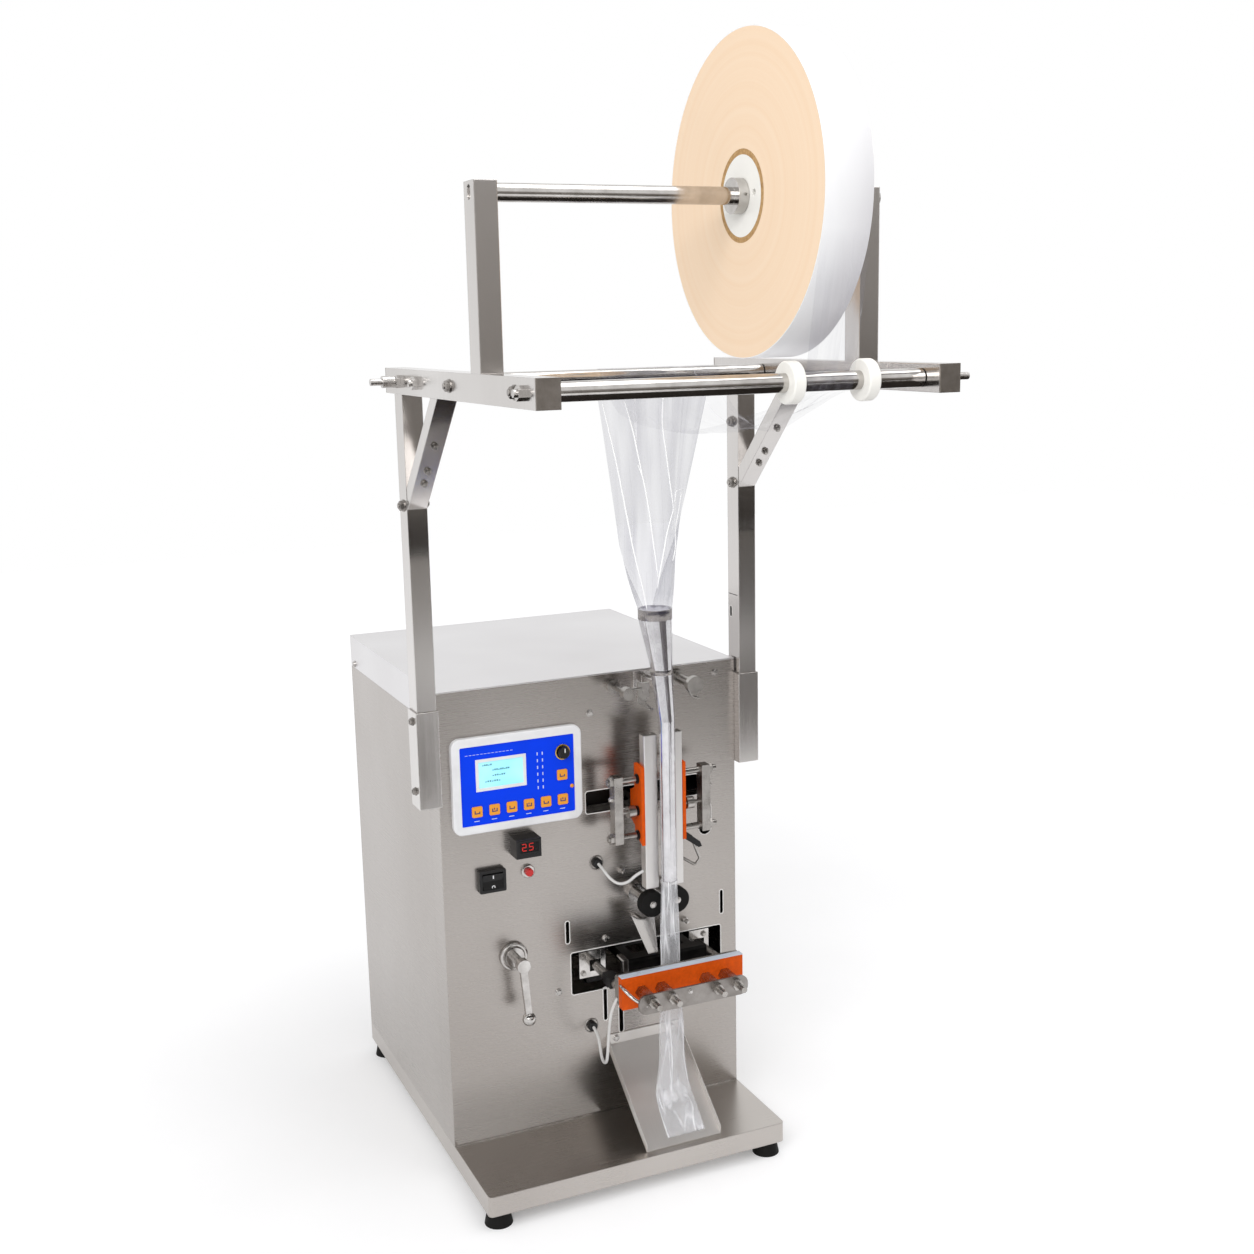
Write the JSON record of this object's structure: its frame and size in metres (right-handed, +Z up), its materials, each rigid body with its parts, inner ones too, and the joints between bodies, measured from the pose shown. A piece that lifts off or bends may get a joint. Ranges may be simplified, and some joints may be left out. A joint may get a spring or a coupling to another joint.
{
  "type": "vertical form fill seal machine",
  "caption": "Bench machine that draws film from an overhead roll over rollers to a funnel tube, seals it and drops bags down a chute, with a keypad panel.",
  "frame": {"origin": "on the floor under the middle of the machine's box", "axes": "+Z up, +X to the right of a person who faces the front panel, +Y to the back"},
  "size_m": [0.544, 0.874, 1.411],
  "materials": {
    "stainless_sheet": "brushed",
    "stainless_tube": "satin",
    "machined_steel": "satin",
    "bright_steel": "polished",
    "aluminium_bar": "satin",
    "orange_board": "matte",
    "white_nylon": "satin",
    "brown_cardboard": "matte",
    "clear_film": "gloss",
    "white_plastic": "satin",
    "blue_plastic": "satin",
    "orange_plastic": "satin",
    "black_plastic": "satin",
    "red_plastic": "gloss",
    "black_rubber": "matte"
  },
  "bodies": {
    "machine": {"base_tray": "stainless_sheet", "rubber_feet": "black_rubber", "front_panel": "stainless_sheet", "side_returns": "stainless_sheet", "side_panels": "stainless_sheet", "back_panel": "stainless_sheet", "cabinet_lid": "stainless_sheet", "inner_rails": "machined_steel", "sleeves": "stainless_tube", "uprights": "stainless_tube", "arms": "stainless_tube", "arm_end_caps": "black_plastic", "braces": "stainless_tube", "roll_posts": "stainless_tube", "frame_studs": "bright_steel", "roll_shaft": "bright_steel", "film_lead": "clear_film", "film_slack": "clear_film", "film_web": "clear_film", "film_sleeve": "clear_film", "bag_strip": "clear_film", "forming_tube": "bright_steel", "tube_holder": "machined_steel", "film_guides": "machined_steel", "seal_lever": "black_plastic", "seal_arms": "machined_steel", "seal_bars": "aluminium_bar", "seal_plates": "orange_board", "seal_supports": "machined_steel", "panel_bushes": "bright_steel", "deflector_plate": "stainless_sheet", "rear_jaw": "machined_steel", "jaw_brackets": "machined_steel", "discharge_chute": "stainless_sheet", "control_bezel": "white_plastic", "control_face": "blue_plastic", "control_keys": "orange_plastic", "control_knob": "black_plastic", "temperature_unit": "black_plastic", "rocker_frame": "black_plastic", "grommets": "black_rubber", "channel_lead": "white_plastic", "jaw_lead": "white_plastic"},
    "roll": {"film_roll": "clear_film", "roll_core": "brown_cardboard", "roll_chucks": "white_nylon"},
    "front_roller": {"front_roller": "bright_steel", "guide_rings": "white_nylon"},
    "rear_roller": {"rear_roller": "bright_steel"},
    "pull_left": {"pull_wheel_left": "black_rubber", "pull_shaft_left": "bright_steel"},
    "pull_right": {"pull_wheel_right": "black_rubber", "pull_shaft_right": "bright_steel"},
    "jaw": {"front_jaw": "machined_steel", "jaw_insulator": "orange_board", "jaw_studs": "bright_steel", "jaw_bolt_plate": "machined_steel"},
    "rocker": {"rocker_key": "red_plastic"},
    "button": {"push_button": "red_plastic"},
    "lever": {"lever_arm": "bright_steel"}
  },
  "joints": [
    {"name": "film_roll_spin", "type": "hinge", "parent": "machine", "child": "roll", "pos_m": [0.099, -0.265, 1.239], "axis": [1, 0, 0], "continuous": true},
    {"name": "front_roller_spin", "type": "hinge", "parent": "machine", "child": "front_roller", "pos_m": [0, -0.4, 1.045], "axis": [1, 0, 0], "continuous": true},
    {"name": "rear_roller_spin", "type": "hinge", "parent": "machine", "child": "rear_roller", "pos_m": [0, -0.055, 1.045], "axis": [1, 0, 0], "continuous": true},
    {"name": "pull_left_spin", "type": "hinge", "parent": "machine", "child": "pull_left", "pos_m": [0.0571, -0.031, 0.357], "axis": [0, 1, 0], "continuous": true},
    {"name": "pull_right_spin", "type": "hinge", "parent": "machine", "child": "pull_right", "pos_m": [0.0929, -0.031, 0.357], "axis": [0, 1, 0], "continuous": true},
    {"name": "front_jaw_slide", "type": "slide", "parent": "machine", "child": "jaw", "axis": [0, 1, 0], "range_m": [0, 0.01]},
    {"name": "rocker_tilt", "type": "hinge", "parent": "machine", "child": "rocker", "pos_m": [-0.146, 0.016, 0.408], "axis": [1, 0, 0], "range_deg": [-8, 8]},
    {"name": "button_push", "type": "slide", "parent": "machine", "child": "button", "axis": [0, 1, 0], "range_m": [0, 0.003], "stiffness_N_per_m": 200},
    {"name": "lever_turn", "type": "hinge", "parent": "machine", "child": "lever", "pos_m": [-0.1195, 0.01, 0.2985], "axis": [0, 1, 0], "range_deg": [0, 90]}
  ],
  "couplings": [
    {"joint": "pull_right_spin", "follows": "pull_left_spin", "ratio": -1}
  ]
}
